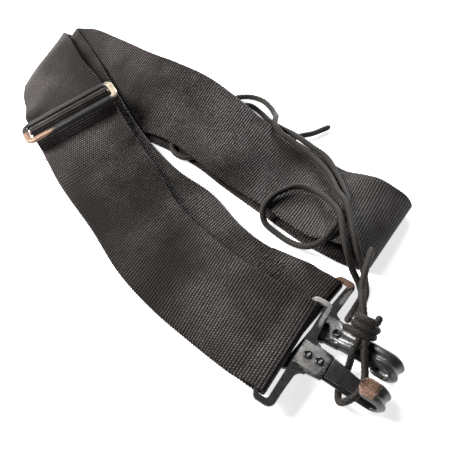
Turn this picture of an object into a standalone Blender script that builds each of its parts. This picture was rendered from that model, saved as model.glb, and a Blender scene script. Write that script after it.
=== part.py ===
"""An adjustable webbing carrying strap, folded in half and laid down.

One long band of heavy nylon webbing runs from a snap hook, through a slide, round two folds
and back to a second snap hook. A braided cord is knotted to the first hook.

Metres, +Z up. +X is to the right along the lying strap, +Y is away from the hooks' side.
The origin is the middle of the footprint, on the surface that the strap lies on.
"""

import math

import bpy
import bmesh
from mathutils import Matrix, Vector

MM = 0.001

# ---------------------------------------------------------------- driving dimensions (mm)
WEBBING_WIDTH = 57.0
WEBBING_THICKNESS = 1.6
LAYER_PITCH = 2.4          # between the middles of two layers that lie on each other
TOUCH_GAP = 0.3            # left between pieces that touch

RING_WIDTH = 66.0          # over the two side arms of a hook's ring
RING_ARM = 3.2             # width of a side arm
PLATE_THICKNESS = 2.4
BAR_HALF = 1.2             # the webbing bar, measured along the hook; it turns freely in its loop
WINDOW_END = 7.0           # far side of the ring's window, from the webbing bar's axis
RING_END = 11.2            # outer edge of the ring's hook-side bar
NECK_WIDTH = 16.0
NECK_START = 15.0
NECK_END = 24.0
ARM_END_WIDTH = 11.0
BEND_CENTRE = 49.0         # along the hook
BEND_RADIUS = 6.0          # to the middle of the metal
TIP_START = 41.0           # where the hook's tip ends, along the hook
ARM_THICKNESS = 2.2

GATE_THICKNESS = 1.1
GATE_ROOT_START = 7.6
GATE_HINGE = 24.5
GATE_END = 45.0
GATE_ROOT_WIDTH = 14.6
GATE_HINGE_WIDTH = 11.2
GATE_TIP_WIDTH = 8.0
NEAR_GATE_REST = -10.0     # degrees: the cord holds this gate ajar
FAR_GATE_REST = 4.2        # this one rests on its hook's tip
RIVET_PLACES = (12.4, 19.0)
RIVET_SHANK = 1.4
RIVET_HEAD = 2.4
RIVET_DOME = 1.3

LOOP_RADIUS = 2.65         # middle of the webbing round a ring's bar
LOOP_CENTRE = 1.3          # the loop's round end, measured along the hook

SLIDE_WIDTH = 68.0
SLIDE_LENGTH = 22.0
SLIDE_BAR = 4.0
SLIDE_THICKNESS = 2.6
SLIDE_TILT = math.radians(14.0)
SLIDE_LIFT = 6.2           # height of the slide's middle over the webbing's top face
CENTRE_BAR_RADIUS = 1.5

CORD_DIAMETER = 3.7
CORD_RADIUS = CORD_DIAMETER / 2

# The layout below is drawn about the strap's lower left; this is the footprint's middle.
LAYOUT_CENTRE = Vector((-15.53, 28.04, 0.09))


def at(x, y, z):
    """A layout point in millimetres, as a point of the part in metres."""
    return (Vector((x, y, z)) - LAYOUT_CENTRE) * MM


# ---------------------------------------------------------------- hook frames
class Frame:
    """A place with three directions: along, across and up."""

    def __init__(self, origin, along, across):
        self.origin = Vector(origin)
        self.along = Vector(along).normalized()
        across = Vector(across)
        self.across = (across - self.along * across.dot(self.along)).normalized()
        self.up = self.along.cross(self.across).normalized()

    def point(self, a, w, u):
        return self.origin + self.along * a + self.across * w + self.up * u

    def matrix(self):
        """From the frame's own millimetres to the part's metres."""
        axes = Matrix((self.along, self.across, self.up)).transposed().to_4x4()
        return Matrix.Translation(at(*self.origin)) @ axes @ Matrix.Scale(MM, 4)


# The bar of the near hook's ring, and the bar of the far one, which lies face down.
NEAR = Frame((31.0, -84.0, 10.6), (0.833, -0.552, -0.025), (0.552, 0.833, 0.037))
FAR = Frame((44.1, -64.2, 3.5), (0.762, -0.648, 0.115), (0.648, 0.762, 0.0))
FAR_FLIPPED = Frame(FAR.origin, FAR.along, -FAR.across)
FAR_LOOP = Frame(FAR.origin, (0.762, -0.648, 0.0), (0.648, 0.762, 0.0))

# The slide stands on a stretch of webbing that is flat and straight.
SLIDE_PLACE = Vector((-101.6, 78.3, 15.6))
SLIDE_ALONG = Vector((0.489, -0.868, -0.075))
SLIDE_ACROSS = Vector((0.85, 0.47, 0.225))
SLIDE = Frame(SLIDE_PLACE, SLIDE_ALONG, SLIDE_ACROSS)

# The far end of the band lies back on the far run, towards this point.
FAR_TAB_AIM = Vector((2.0, -37.5, 4.4))

# ---------------------------------------------------------------- the webbing's path
# The band is ruled: each station is a straight line across it, from its left edge to its
# right edge, on its middle surface. Stations go along the band from the near hook. In the
# runs the rulings are square to the band and as long as it is wide; in the folds they may
# lie askew.

FRONT_EDGES = [
    ((-20, -80, 8.8), (6, -29, 10)),
    ((-40, -60, 7), (-12, -12, 9)),
    ((-60, -37, 6.5), (-29, 9, 9.5)),
    ((-80, -5, 6), (-44, 36, 11)),
    ((-98, 20, 5.7), (-56, 54, 15.5)),
]
OUTER_FOLD_EDGES = [
    ((-139, 96, 7.4), (-100, 125, 27)),
    ((-143, 108, 7.0), (-108.5, 141, 27)),
    ((-144.5, 117, 6.6), (-116, 156, 25.5)),
    ((-145.5, 123.5, 4.2), (-121, 168, 19)),
    ((-143, 124.5, 1.5), (-118, 174, 12.5)),
    ((-136, 122, 1.2), (-110, 173, 11)),
]
BACK_LOWER_EDGES = [
    ((-122, 114, 1.2), (-95, 163, 12)),
    ((-103, 101, 1.2), (-75, 149, 14.5)),
    ((-80, 87, 1.2), (-52, 134, 16)),
    ((-58, 75, 1.2), (-33, 122, 15.5)),
    ((-37, 62, 1.2), (-10, 110, 12)),
    ((-17, 46, 1.2), (13, 93, 8)),
    ((-3, 32, 1.2), (30, 77, 3)),
    ((24, 6, 1.2), (57, 52, 1.2)),
    ((46, -14, 1.2), (77, 33, 1.2)),
    ((58, -23, 1.2), (89, 25, 1.2)),
]
RIGHT_FOLD_EDGES = [
    ((69, -30, 1.2), (100, 18, 1.2)),
    ((77.5, -33.5, 2.0), (110, 13, 1.8)),
    ((81.5, -35, 6), (114.5, 11, 5)),
    ((80, -34, 11.5), (112, 14, 9.5)),
    ((74, -32, 16.5), (104, 18, 14)),
    ((66, -28, 18.5), (95, 23, 16.5)),
]
BACK_UPPER_EDGES = [
    ((58, -22, 15), (86, 28, 15)),
    ((48, -15, 10), (77, 34, 11)),
    ((36, -3, 7.5), (68, 44, 8.5)),
    ((24, 9, 7), (57, 55, 8)),
    ((13, 19, 7), (47, 62, 9)),
    ((-3, 31, 7.5), (28, 78, 12)),
    ((-19, 47, 7.5), (10, 95, 17)),
    ((-38, 66, 7.5), (-12, 113, 21)),
    ((-59, 79, 6.5), (-34, 123, 24.5)),
    ((-82, 91, 6), (-53, 135, 25)),
    ((-105, 106, 6), (-77, 152, 25)),
    ((-124, 119, 5.2), (-97, 166, 23.5)),
]
INNER_FOLD_EDGES = [
    ((-133, 124, 4.3), (-107, 171, 20.5)),
    ((-138, 126, 4.9), (-111.5, 172, 20)),
    ((-137, 120, 5.6), (-110, 166, 22)),
]
FAR_EDGES = [
    ((-135, 111, 5.1), (-104, 155, 22)),
    ((-128, 93, 4.4), (-90, 129, 20)),
    ((-119, 71, 3.0), (-75, 103, 15.5)),
    ((-107, 50, 2), (-65, 85, 12)),
    ((-91, 26, 2), (-52, 65, 8.5)),
    ((-69, -1, 1.6), (-31, 41, 5)),
    ((-46, -19, 1.6), (-9, 22, 3)),
    ((-28, -44, 1.6), (9, -2, 2.5)),
    ((-14, -58, 1.8), (23, -16, 2.5)),
]


def ruling(centre, across, length=WEBBING_WIDTH):
    half = across.normalized() * length / 2
    return centre - half, centre + half


def true_width(edges):
    """A station's edges, moved so that they stand exactly the webbing's width apart."""
    left, right = Vector(edges[0]), Vector(edges[1])
    return ruling((left + right) / 2, right - left)


def slide_stretch():
    """Stations on the straight stretch under the slide, from the hook's side to the fold's."""
    middle = SLIDE.point(0, 0, -WEBBING_THICKNESS / 2)
    return [ruling(middle + SLIDE.along * a, SLIDE.across) for a in (38.0, 30.0, 15.0, 0.0, -15.0, -20.0)]


def loop_stations(frame):
    """Webbing round a ring's bar: in under the bar, round it, and back above it."""
    half_pitch = LAYER_PITCH / 2
    profile = [(-17.0, -half_pitch), (-10.0, -half_pitch - 0.2), (-4.0, -LOOP_RADIUS + 0.1)]
    for step in range(7):
        angle = math.radians(-90 + 30 * step)
        profile.append((LOOP_CENTRE + LOOP_RADIUS * math.cos(angle), LOOP_RADIUS * math.sin(angle)))
    profile += [(-4.0, LOOP_RADIUS - 0.1), (-10.0, half_pitch + 0.2), (-17.0, half_pitch)]
    return [ruling(frame.point(a, 0, u), frame.across) for a, u in profile]


def offset_back(stations, distance):
    """The same stations moved to the webbing's lower side, in reverse order."""
    moved = []
    centres = [(left + right) / 2 for left, right in stations]
    for index, (left, right) in enumerate(stations):
        way = centres[min(index + 1, len(stations) - 1)] - centres[max(index - 1, 0)]
        step = (right - left).cross(way).normalized() * distance
        moved.append((left - step, right - step))
    return moved[::-1]


def sewn_tab(far_loop):
    """The far end of the band, turned back and sewn down on the far run."""
    start = (far_loop[-1][0] + far_loop[-1][1]) / 2
    way = (FAR_TAB_AIM - start).normalized()
    return [ruling(start + way * reach, FAR_LOOP.across) for reach in (6.0, 14.0, 24.0)]


def webbing_runs():
    """(name, stations) of every run of the one band, in order along it."""
    front = [true_width(edges) for edges in FRONT_EDGES] + slide_stretch()
    near_loop = loop_stations(NEAR)
    far_loop = loop_stations(FAR_LOOP)
    return [
        ("front_return_run", offset_back([near_loop[-1]] + front[:-3], LAYER_PITCH)[:-1]),
        ("near_ring_loop", near_loop),
        ("front_run", front),
        ("outer_fold", [(Vector(left), Vector(right)) for left, right in OUTER_FOLD_EDGES]),
        ("back_lower_run", [true_width(edges) for edges in BACK_LOWER_EDGES]),
        ("right_fold", [(Vector(left), Vector(right)) for left, right in RIGHT_FOLD_EDGES]),
        ("back_upper_run", [true_width(edges) for edges in BACK_UPPER_EDGES]),
        ("inner_fold", [(Vector(left), Vector(right)) for left, right in INNER_FOLD_EDGES]),
        ("far_run", [true_width(edges) for edges in FAR_EDGES]),
        ("far_ring_loop", far_loop),
        ("far_sewn_tab", sewn_tab(far_loop)),
    ]


def spline(p0, p1, p2, p3, t):
    """A centripetal Catmull-Rom curve from p1 to p2."""
    k0 = 0.0
    k1 = k0 + max((p1 - p0).length, 1e-6) ** 0.5
    k2 = k1 + max((p2 - p1).length, 1e-6) ** 0.5
    k3 = k2 + max((p3 - p2).length, 1e-6) ** 0.5
    k = k1 + (k2 - k1) * t
    a1 = p0 * ((k1 - k) / (k1 - k0)) + p1 * ((k - k0) / (k1 - k0))
    a2 = p1 * ((k2 - k) / (k2 - k1)) + p2 * ((k - k1) / (k2 - k1))
    a3 = p2 * ((k3 - k) / (k3 - k2)) + p3 * ((k - k2) / (k3 - k2))
    b1 = a1 * ((k2 - k) / (k2 - k0)) + a2 * ((k - k0) / (k2 - k0))
    b2 = a2 * ((k3 - k) / (k3 - k1)) + a3 * ((k - k1) / (k3 - k1))
    return b1 * ((k2 - k) / (k2 - k1)) + b2 * ((k - k1) / (k2 - k1))


def smooth_line(points, counts):
    """A smooth curve through the points, with the given number of steps to each next one."""
    padded = [points[0] * 2 - points[1]] + list(points) + [points[-1] * 2 - points[-2]]
    line = []
    for i, count in enumerate(counts):
        p0, p1, p2, p3 = padded[i:i + 4]
        line += [spline(p0, p1, p2, p3, j / count) for j in range(count)]
    line.append(points[-1].copy())
    return line


def step_counts(points, step):
    return [max(1, round((b - a).length / step)) for a, b in zip(points, points[1:])]


def band_path(step):
    """The whole band's two edges, and where each run starts."""
    runs = webbing_runs()
    stations = [station for _, run in runs for station in run]
    counts = step_counts([(left + right) / 2 for left, right in stations], step)
    lefts = smooth_line([left for left, _ in stations], counts)
    rights = smooth_line([right for _, right in stations], counts)
    starts, seen = [], 0
    for name, run in runs:
        starts.append((name, sum(counts[:seen])))
        seen += len(run)
    return lefts, rights, starts + [("end", len(lefts) - 1)]


# ---------------------------------------------------------------- mesh helpers
def clear_scene():
    for obj in list(bpy.data.objects):
        bpy.data.objects.remove(obj, do_unlink=True)


def material(name, colour, roughness, metallic=0.0):
    found = bpy.data.materials.get(name)
    if found:
        return found
    made = bpy.data.materials.new(name)
    made.use_nodes = True
    shader = made.node_tree.nodes["Principled BSDF"]
    shader.inputs["Base Color"].default_value = (*colour, 1.0)
    shader.inputs["Roughness"].default_value = roughness
    shader.inputs["Metallic"].default_value = metallic
    return made


def webbing_nylon():
    return material("webbing_nylon", (0.022, 0.021, 0.020), 0.75)


def black_paint():
    return material("black_paint", (0.02, 0.02, 0.022), 0.35)


def gate_steel():
    return material("gate_steel", (0.05, 0.05, 0.055), 0.35, 0.6)


def rivet_steel():
    return material("rivet_steel", (0.12, 0.12, 0.12), 0.3, 0.9)


def slide_steel():
    return material("slide_steel", (0.03, 0.03, 0.03), 0.35, 0.4)


def cord_nylon():
    return material("cord_nylon", (0.03, 0.024, 0.018), 0.8)


def thread():
    return material("stitch_thread", (0.015, 0.015, 0.015), 0.7)


def add_object(name, mesh, finish, matrix=None, smooth_angle=None):
    obj = bpy.data.objects.new(name, mesh)
    bpy.context.scene.collection.objects.link(obj)
    if matrix is not None:
        mesh.transform(matrix)
    mesh.materials.append(finish)
    if smooth_angle is not None:
        mesh.shade_smooth()
        mesh.set_sharp_from_angle(angle=math.radians(smooth_angle))
    return obj


def mesh_from(name, points, faces):
    mesh = bpy.data.meshes.new(name)
    made = bmesh.new()
    corners = [made.verts.new(point) for point in points]
    for face in faces:
        made.faces.new([corners[i] for i in face])
    bmesh.ops.recalc_face_normals(made, faces=made.faces)
    made.to_mesh(mesh)
    made.free()
    return mesh


def loft(name, rings):
    """A closed body through rings of points, with flat ends."""
    sides = len(rings[0])
    points = [point for ring in rings for point in ring]
    faces = []
    for i in range(len(rings) - 1):
        for j in range(sides):
            k = (j + 1) % sides
            faces.append((i * sides + j, i * sides + k, (i + 1) * sides + k, (i + 1) * sides + j))
    faces.append(tuple(range(sides))[::-1])
    faces.append(tuple((len(rings) - 1) * sides + j for j in range(sides)))
    return mesh_from(name, points, faces)


def turned(name, profile, sides=16):
    """A body turned about its own Z from (radius, height) points; the ends lie on the axis."""
    points = [(0, 0, profile[0][1])]
    for radius, height in profile[1:-1]:
        for j in range(sides):
            angle = 2 * math.pi * j / sides
            points.append((radius * math.cos(angle), radius * math.sin(angle), height))
    points.append((0, 0, profile[-1][1]))
    faces = [(0, 1 + (j + 1) % sides, 1 + j) for j in range(sides)]
    for i in range(len(profile) - 3):
        for j in range(sides):
            k = (j + 1) % sides
            base = 1 + i * sides
            faces.append((base + j, base + k, base + sides + k, base + sides + j))
    base = 1 + (len(profile) - 3) * sides
    faces += [(base + j, base + (j + 1) % sides, len(points) - 1) for j in range(sides)]
    return mesh_from(name, points, faces)


def boolean(obj, other, operation):
    modifier = obj.modifiers.new(operation.lower(), "BOOLEAN")
    modifier.operation = operation
    modifier.solver = "EXACT"
    modifier.object = other
    other.hide_render = True
    other.display_type = "WIRE"


def parent_on_axis(name, place, pieces):
    """An empty on a joint's axis, with the pieces that move about it."""
    empty = bpy.data.objects.new(name, None)
    empty.location = at(*place)
    bpy.context.scene.collection.objects.link(empty)
    for piece in pieces:
        piece.parent = empty
        piece.matrix_parent_inverse = Matrix.Translation(-empty.location)


# ---------------------------------------------------------------- webbing
def ribbon(name, lefts, rights, trim=TOUCH_GAP / 2):
    """A length of webbing as a solid, its two ends drawn in by `trim`."""
    lefts, rights = list(lefts), list(rights)
    for end, inner in ((0, 1), (-1, -2)):
        pull = (lefts[inner] + rights[inner] - lefts[end] - rights[end]).normalized() * trim
        lefts[end], rights[end] = lefts[end] + pull, rights[end] + pull
    centres = [(left + right) / 2 for left, right in zip(lefts, rights)]
    rings = []
    for i, centre in enumerate(centres):
        way = centres[min(i + 1, len(centres) - 1)] - centres[max(i - 1, 0)]
        deep = (rights[i] - lefts[i]).cross(way).normalized() * WEBBING_THICKNESS / 2
        corners = (lefts[i] - deep, rights[i] - deep, rights[i] + deep, lefts[i] + deep)
        rings.append([at(*corner) for corner in corners])
    return add_object(name, loft(name, rings), webbing_nylon())


def make_webbing():
    lefts, rights, starts = band_path(step=4.0)
    for (name, first), (_, last) in zip(starts, starts[1:]):
        ribbon(name, lefts[first:last + 1], rights[first:last + 1])


def make_slide_thread():
    """The webbing's stretch that rides over the slide's centre bar, with the slide."""
    low = WEBBING_THICKNESS / 2 + TOUCH_GAP
    top = SLIDE_LIFT + CENTRE_BAR_RADIUS + low
    profile = [(-15.0, low), (-10.5, low), (-7.0, low + 0.2), (-4.6, 3.6), (-2.9, SLIDE_LIFT),
               (-1.8, top - 0.7), (0.0, top), (1.9, top - 0.7), (3.6, SLIDE_LIFT), (6.3, 4.8),
               (9.2, 3.3), (12.2, 1.8), (14.8, low), (18.0, low)]
    stations = [ruling(SLIDE.point(a, 0, u), SLIDE.across) for a, u in profile]
    lefts = [left for left, _ in stations]
    counts = step_counts(lefts, 1.6)
    rights = [right for _, right in stations]
    return ribbon("slide_thread", smooth_line(lefts, counts), smooth_line(rights, counts))


def stitch_ring(name, middle, along, across, up, half_length, half_width):
    """A box stitch's four sewn sides, as one raised ring of thread."""
    half_row, low, high = 0.5, TOUCH_GAP, TOUCH_GAP + 0.5
    rings = []
    for a_sign, w_sign in ((-1, -1), (1, -1), (1, 1), (-1, 1)):
        ring = []
        for grow, height in ((-half_row, low), (half_row, low), (half_row, high), (-half_row, high)):
            reach = along * a_sign * (half_length + grow) + across * w_sign * (half_width + grow)
            ring.append(at(*(middle + reach + up * height)))
        rings.append(ring)
    points = [point for ring in rings for point in ring]
    faces = []
    for i in range(4):
        for j in range(4):
            here, there = i * 4, (i + 1) % 4 * 4
            faces.append((here + j, here + (j + 1) % 4, there + (j + 1) % 4, there + j))
    return add_object(name, mesh_from(name, points, faces), thread())


def make_stitching():
    """The far tab's box stitch."""
    tab = sewn_tab(loop_stations(FAR_LOOP))
    middles = [(left + right) / 2 for left, right in tab]
    along = (middles[0] - middles[2]).normalized()
    up = along.cross(FAR_LOOP.across).normalized()
    side = up.cross(along)
    top = middles[1] + up * WEBBING_THICKNESS / 2
    stitch_ring("far_tab_stitching", top, along, side, up, 6.5, 20.0)


# ---------------------------------------------------------------- snap hooks
def arc(centre, radius, start, end, count):
    """Points on an arc, angles in degrees."""
    found = []
    for i in range(count + 1):
        angle = math.radians(start + (end - start) * i / count)
        found.append((centre[0] + radius * math.cos(angle), centre[1] + radius * math.sin(angle)))
    return found


def ring_outline():
    """Half of the plate's outer outline, from the webbing bar's middle to the neck's end."""
    corner, half = 4.0, RING_WIDTH / 2
    sweep = 5.0
    neck_half = NECK_WIDTH / 2
    outline = [(-BAR_HALF, 0.0)]
    outline += arc((-BAR_HALF + corner, half - corner), corner, 180, 90, 4)
    outline += arc((RING_END - corner, half - corner), corner, 90, 0, 4)
    outline += arc((RING_END + sweep, neck_half + sweep), sweep, 180, 270, 4)
    outline += [(NECK_END, neck_half - 0.8), (NECK_END, 0.0)]
    return outline


def window_outline():
    half = RING_WIDTH / 2 - RING_ARM
    corner = 1.5
    outline = [(BAR_HALF, 0.0)]
    outline += arc((BAR_HALF + corner, half - corner), corner, 180, 90, 3)
    outline += arc((WINDOW_END - corner, half - corner), corner, 90, 0, 3)
    outline += [(WINDOW_END, 0.0)]
    return outline


def full_outline(half_outline):
    """Both halves of an outline that is symmetric about the hook's axis."""
    mirrored = [(a, -w) for a, w in half_outline[-2:0:-1]]
    return half_outline + mirrored


def slab(name, outline, low, high, bevel=0.0):
    """An outline in (along, across), from one height to another, with softened edges."""
    rings = []
    middle = Vector((sum(a for a, _ in outline), sum(w for _, w in outline))) / len(outline)
    levels = [(low, bevel), (low + bevel, 0.0), (high - bevel, 0.0), (high, bevel)] if bevel \
        else [(low, 0.0), (high, 0.0)]
    for height, inset in levels:
        ring = []
        for i, place in enumerate(outline):
            point = Vector(place)
            if inset:
                before, after = Vector(outline[i - 1]), Vector(outline[(i + 1) % len(outline)])
                way = (after - before).normalized()
                inward = Vector((-way.y, way.x))
                if inward.dot(middle - point) < 0 and not is_hollow(outline, i):
                    inward = -inward
                point = point + inward * inset
            ring.append((point.x, point.y, height))
        rings.append(ring)
    return loft(name, rings)


def is_hollow(outline, i):
    """Whether the outline turns the other way at this point."""
    a, b, c = (Vector(outline[(i + k) % len(outline)]) for k in (-1, 0, 1))
    turn = (b - a).cross(c - b)
    area = sum(Vector(outline[k - 1]).cross(Vector(outline[k])) for k in range(len(outline)))
    return turn * area < 0


def arm_line():
    """The middle of the hook's arm in (along, up): out from the neck, down, round and back."""
    low = [(NECK_START + 2.0, 0.0), (NECK_END, -0.6), (31.0, -2.4), (38.0, -4.7), (44.5, -5.8)]
    bend = arc((BEND_CENTRE, 0.0), BEND_RADIUS, -90, 90, 10)
    tip = [(TIP_START + 3.5, 6.2), (TIP_START, 6.3)]
    return low + bend + tip


def arm_width(place):
    """The arm's width at a share of its length: it narrows, and its tip is round."""
    width = NECK_WIDTH - 1.6 + (ARM_END_WIDTH - NECK_WIDTH + 1.6) * min(1.0, place / 0.45)
    if place > 0.93:
        width *= math.sqrt(max(0.12, 1.0 - ((place - 0.93) / 0.075) ** 2))
    return width


def arm_section(width):
    """The channel's cross-section as (across, outwards): two ridges with a groove between."""
    half, thick = width / 2, ARM_THICKNESS / 2
    ridge, lip = 0.75, 1.2
    outer = [(-half, -lip), (-half * 0.62, thick + ridge), (-half * 0.22, thick - 0.2),
             (half * 0.22, thick - 0.2), (half * 0.62, thick + ridge), (half, -lip)]
    inner = [(half * 0.80, -thick - 0.9), (half * 0.5, -thick + 0.5), (-half * 0.5, -thick + 0.5),
             (-half * 0.80, -thick - 0.9)]
    return outer + inner


def hook_arm(name):
    line = [Vector((a, 0, u)) for a, u in arm_line()]
    line = smooth_line(line, step_counts(line, 2.2))
    rings = []
    for i, centre in enumerate(line):
        way = (line[min(i + 1, len(line) - 1)] - line[max(i - 1, 0)]).normalized()
        outward = Vector((way.z, 0, -way.x))
        section = arm_section(arm_width(i / (len(line) - 1)))
        flat = min(1.0, i / 4)
        rings.append([centre + Vector((0, w, 0)) + outward * (o if i >= 4 else o * (0.45 + 0.55 * flat))
                      for w, o in section])
    return loft(name, rings)


def rivet_hole(name, frame, place, low, high):
    mesh = turned(name, [(0, low), (RIVET_SHANK + 0.3, low), (RIVET_SHANK + 0.3, high), (0, high)], 16)
    mesh.transform(Matrix.Translation((place, 0, 0)))
    cutter = add_object(name, mesh, black_paint(), frame.matrix())
    return cutter


def make_hook(side, frame, gate_rest):
    """One snap hook: stamped body, gate leaf with its riveted root, two rivets."""
    body = add_object(f"{side}_hook_body",
                      slab(f"{side}_plate", full_outline(ring_outline()), -PLATE_THICKNESS / 2,
                           PLATE_THICKNESS / 2, 0.5), black_paint(), frame.matrix(), 35)
    window = add_object(f"{side}_window_cutter",
                        slab(f"{side}_window", full_outline(window_outline()), -4, 4),
                        black_paint(), frame.matrix())
    arm = add_object(f"{side}_arm_cutter", hook_arm(f"{side}_arm"), black_paint(), frame.matrix())
    boolean(body, window, "DIFFERENCE")
    boolean(body, arm, "UNION")

    root_low = PLATE_THICKNESS / 2 + TOUCH_GAP
    root_high = root_low + GATE_THICKNESS
    half_root, half_tip = GATE_ROOT_WIDTH / 2, GATE_TIP_WIDTH / 2
    root_outline = [(GATE_ROOT_START, -half_root + 0.6), (GATE_HINGE - 0.5, -half_root + 1.0),
                    (GATE_HINGE - 0.5, half_root - 1.0), (GATE_ROOT_START, half_root - 0.6)]
    root = add_object(f"{side}_gate_root", slab(f"{side}_root", root_outline, root_low, root_high),
                      gate_steel(), frame.matrix())
    leaf_outline = [(GATE_HINGE, -GATE_HINGE_WIDTH / 2), (GATE_END - 3.0, -half_tip)]
    leaf_outline += arc((GATE_END - half_tip, 0), half_tip, -60, 60, 6)
    leaf_outline += [(GATE_END - 3.0, half_tip), (GATE_HINGE, GATE_HINGE_WIDTH / 2)]
    leaf_mesh = slab(f"{side}_leaf", leaf_outline, root_low, root_high)
    pivot = Matrix.Translation((GATE_HINGE, 0, root_low))
    leaf_mesh.transform(pivot @ Matrix.Rotation(math.radians(-gate_rest), 4, "Y") @ pivot.inverted())
    leaf = add_object(f"{side}_gate_leaf", leaf_mesh, gate_steel(), frame.matrix())

    rivets = []
    for number, place in enumerate(RIVET_PLACES):
        low, high = -PLATE_THICKNESS / 2 - 0.9, root_high + RIVET_DOME + TOUCH_GAP
        for target, label in ((body, "body"), (root, "root")):
            boolean(target, rivet_hole(f"{side}_{label}_hole_{number}", frame, place, -5, 5), "DIFFERENCE")
        head = root_high + TOUCH_GAP
        profile = [(0, low), (RIVET_SHANK + 0.8, low), (RIVET_SHANK + 0.8, -PLATE_THICKNESS / 2 - TOUCH_GAP),
                   (RIVET_SHANK, -PLATE_THICKNESS / 2 - TOUCH_GAP), (RIVET_SHANK, head), (RIVET_HEAD, head),
                   (RIVET_HEAD * 0.92, head + RIVET_DOME * 0.5), (RIVET_HEAD * 0.6, head + RIVET_DOME * 0.88),
                   (0, high)]
        mesh = turned(f"{side}_rivet_mesh_{number}", profile, 14)
        mesh.transform(Matrix.Translation((place, 0, 0)))
        label = ("inner", "outer")[number]
        rivets.append(add_object(f"{side}_rivet_{label}", mesh, rivet_steel(), frame.matrix(), 40))

    parent_on_axis(f"{side}_hook_axis", frame.origin, [body, root] + rivets)
    parent_on_axis(f"{side}_gate_axis", frame.point(GATE_HINGE, 0, root_low), [leaf])


# ---------------------------------------------------------------- slide
def make_slide():
    """A three-bar slide: a rounded frame with a round centre bar."""
    half_long, half_wide = SLIDE_LENGTH / 2, SLIDE_WIDTH / 2

    def rounded(a, w, corner):
        outline = arc((a - corner, w - corner), corner, 0, 90, 5)
        outline += arc((-a + corner, w - corner), corner, 90, 180, 5)
        outline += arc((-a + corner, -w + corner), corner, 180, 270, 5)
        outline += arc((a - corner, -w + corner), corner, 270, 360, 5)
        return outline

    tilt = Matrix.Rotation(-SLIDE_TILT, 4, "Y")
    place = SLIDE.matrix() @ Matrix.Translation((0, 0, SLIDE_LIFT)) @ tilt
    frame = add_object("slide_frame", slab("slide_plate", rounded(half_long, half_wide, 6.5),
                                           -SLIDE_THICKNESS / 2, SLIDE_THICKNESS / 2, 0.8),
                       slide_steel(), place, 35)
    hole = add_object("slide_window_cutter",
                      slab("slide_window", rounded(half_long - SLIDE_BAR, half_wide - 4.2, 3.0), -4, 4),
                      slide_steel(), place)
    boolean(frame, hole, "DIFFERENCE")
    length = half_wide - 4.2 - TOUCH_GAP
    profile = [(0, -length), (CENTRE_BAR_RADIUS, -length), (CENTRE_BAR_RADIUS, length), (0, length)]
    mesh = turned("slide_bar_mesh", profile, 14)
    mesh.transform(Matrix.Rotation(math.radians(90), 4, "X"))
    bar = add_object("slide_centre_bar", mesh, slide_steel(), place, 40)
    parent_on_axis("slide_axis", SLIDE.origin, [frame, bar, make_slide_thread()])


# ---------------------------------------------------------------- cord
KNOT_PLACE = Vector((71.2, -78.3, 18.2))
KNOT_RADII = Vector((9.5, 8.0, 6.0))

# Routes in layout millimetres, from the knot outwards.
# The tail stands clear of the other two strands, so that it can swing up with the hook.
TAIL_ROUTE = [(70.6, -69, 22), (71.2, -59, 22.7), (73.3, -51.1, 23.9), (76.9, -41.7, 23.8),
              (80.2, -33.2, 21.8)]
LONG_ROUTE = [
    (64.3, -70.3, 9.8), (67, -65.5, 5.4), (71.5, -58.5, 2.8), (75.8, -51, 2.8), (74.8, -44.5, 4.8),
    (70.8, -39, 11), (67.7, -34.5, 19), (65.8, -26, 23.2), (65.3, -11, 24), (62.5, 3, 18.2),
    (55, 17, 12.2), (45, 21.5, 11.4), (37, 19.3, 11), (29, 14, 10.8), (23, 5.5, 9), (24, -1, 4.2),
    (31.5, -8.5, 2.4), (38.4, -15, 3.2), (45, -20.2, 6.4), (50.6, -23.2, 11.6), (56, -22.6, 17),
    (61.8, -16.8, 20.2), (68, -7, 19.8), (72.8, 3, 18.6), (72.3, 14.5, 16.2), (69.8, 29.5, 13.2),
    (64.8, 46, 11.7), (56, 56, 11.3),
    (51, 61.5, 11.4), (46, 68, 10), (38.5, 76.5, 7.6), (31, 85.5, 5.6), (25, 93, 6.4), (17, 95.5, 11),
    (7, 91.5, 12.4), (-5, 86.5, 11.2), (-13, 83, 10), (-21, 79.2, 8.8), (-28.4, 74.3, 7.3),
    (-33.8, 68.2, 5.5), (-35.2, 61.3, 4.3), (-31.6, 55, 4.2), (-25, 52, 4.5), (-17.5, 54.8, 5.4),
    (-8, 61.2, 7), (4, 68, 8.4), (16, 71, 7.8),
    (28, 69.5, 6.6), (38, 68, 5.6), (46, 70.5, 4.5), (53, 73.5, 3.8), (60, 76, 3.2), (72.5, 83.5, 2.4),
]
SHORT_ROUTE = [
    (69, -70.5, 9.5), (71.8, -65.5, 8), (74.6, -59, 6.6), (77.4, -52, 6.6), (77.6, -44.5, 8.4),
    (76, -38.5, 14), (73.5, -34.5, 19.5), (71.7, -26, 23.7), (70.6, -10, 24.5), (69.6, 0, 23.4),
    (67.4, 11, 18.8), (64.3, 30, 14), (58.3, 43.5, 11.9), (51, 52, 11.9), (43.5, 59.5, 12.9),
    (37, 65.5, 13.8), (33.5, 72.5, 14.6),
    (34, 79.5, 13.2), (35, 86.5, 9.4), (34.5, 94, 5), (33, 101, 3), (27, 110.5, 2.3), (18, 114.5, 2.3),
    (8.5, 113, 2.8), (0, 108, 3.4), (-8, 101, 3.6),
]
# In the near hook's own frame: over the gate's leaf, down past the arm and back under it.
HOOK_LOOP_ROUTE = [
    (34.5, 17, 7.5), (38.2, 11, 4.6), (41.6, 5, 2.4), (42.5, 0, 2.1), (42.2, -4.5, 1.9), (39, -9.6, -0.6),
    (36.4, -9.6, -5), (33.6, -4, -7.4), (33, 3, -7.4), (32.2, 8.8, -5.9), (31.6, 11, -2), (31, 12.7, 2.1),
    (30.4, 16, 4.9),
]


def route_line(route, step):
    points = [Vector(point) for point in route]
    return smooth_line(points, step_counts(points, step))


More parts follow.
